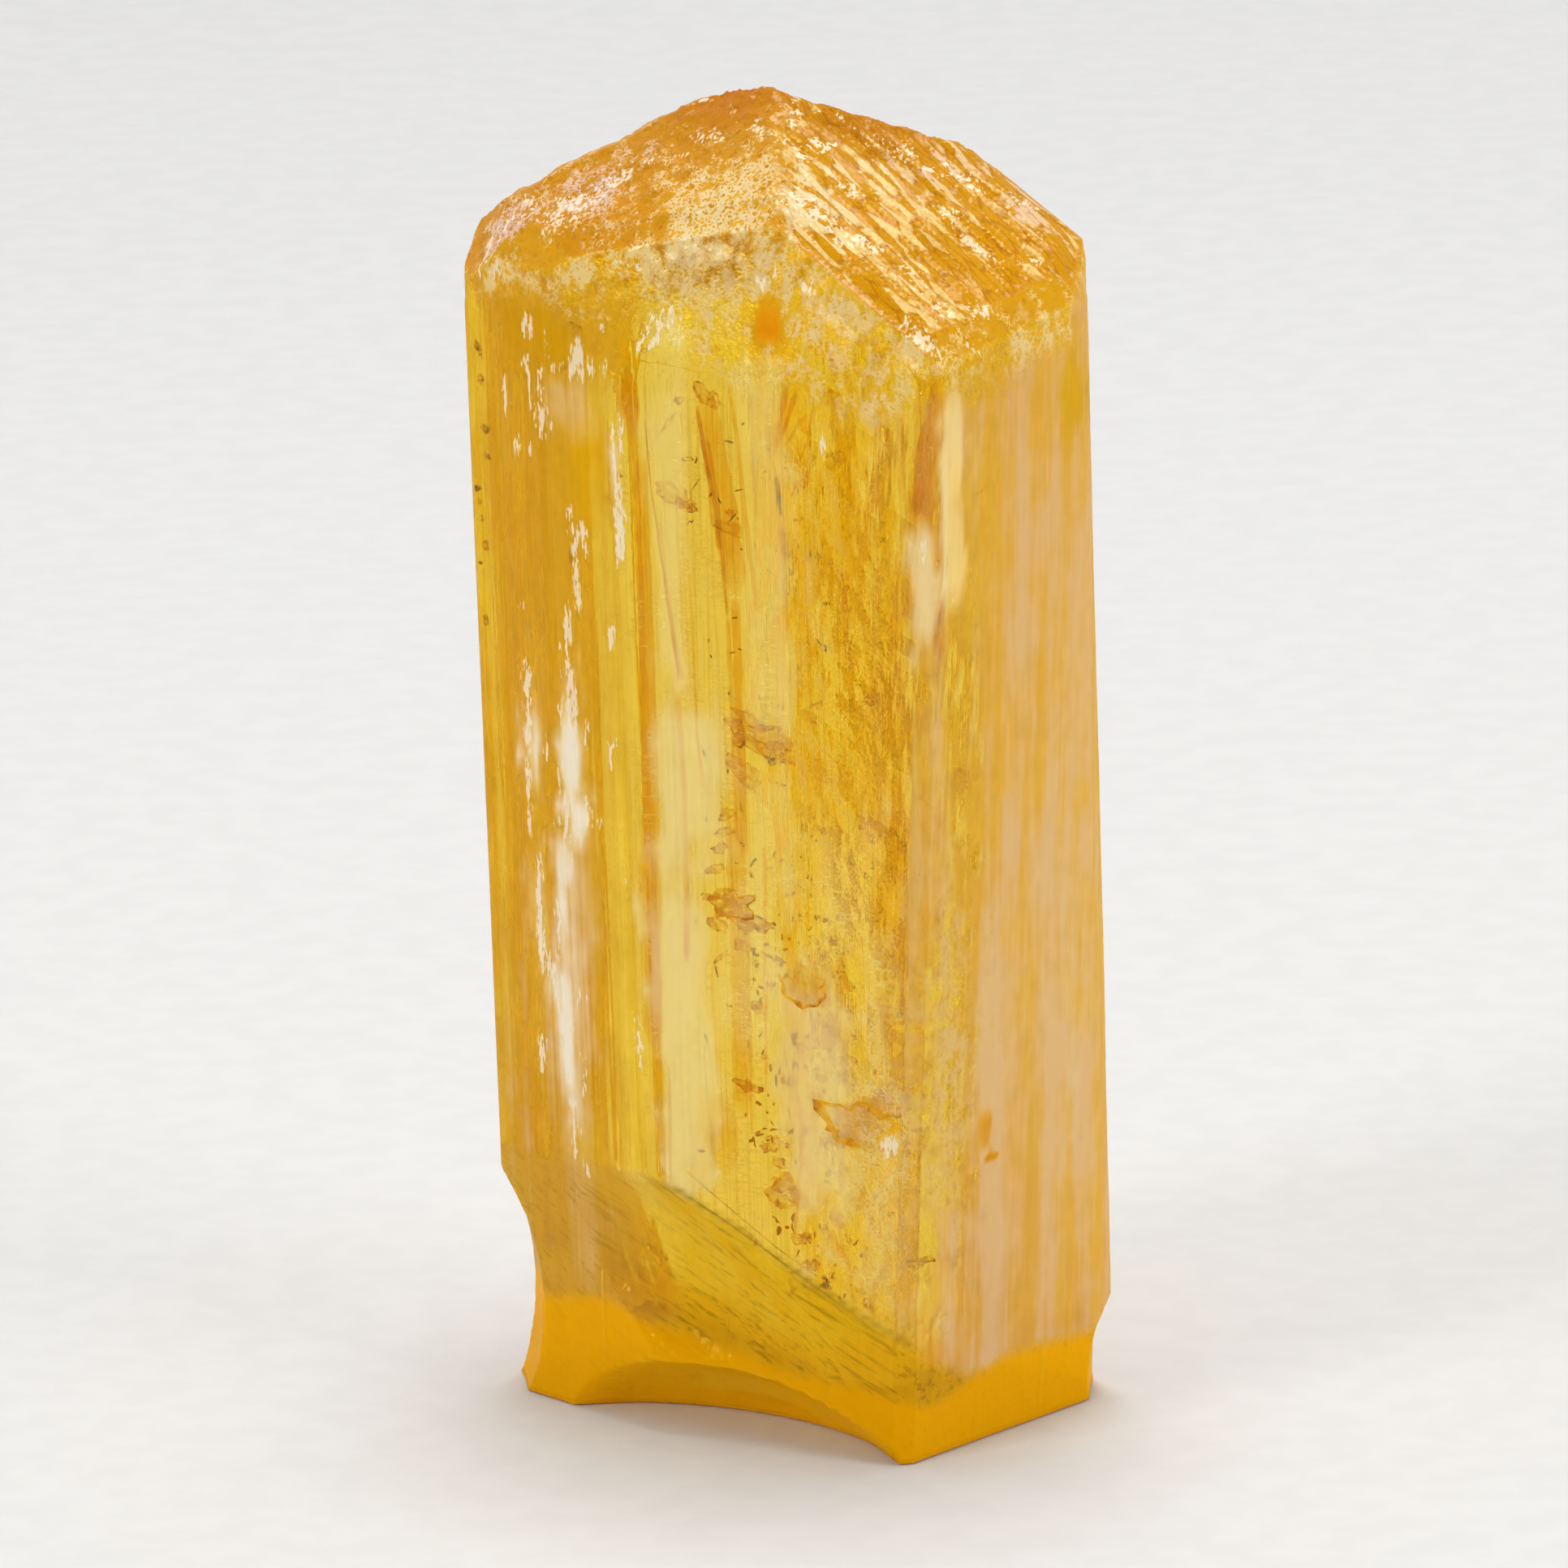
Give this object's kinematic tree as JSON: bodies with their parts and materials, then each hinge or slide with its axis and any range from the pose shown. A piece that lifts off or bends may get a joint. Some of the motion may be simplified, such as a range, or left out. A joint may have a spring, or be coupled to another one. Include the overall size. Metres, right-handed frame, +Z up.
{
  "type": "topaz crystal",
  "caption": "A single upright prism of golden orange topaz with an etched roof-shaped top, worn edges and a broken foot that ends in a flat base",
  "frame": {"origin": "middle of the footprint box, on the flat base", "axes": "+Z up along the crystal's long axis, -Y towards the front edge and its two broad prism faces"},
  "size_m": [0.0136, 0.0122, 0.0299],
  "materials": {
    "topaz": "clear golden topaz, striated prism faces, etched top and satin fracture at the foot"
  },
  "bodies": {
    "root": {"topaz_crystal": "topaz"}
  },
  "joints": []
}
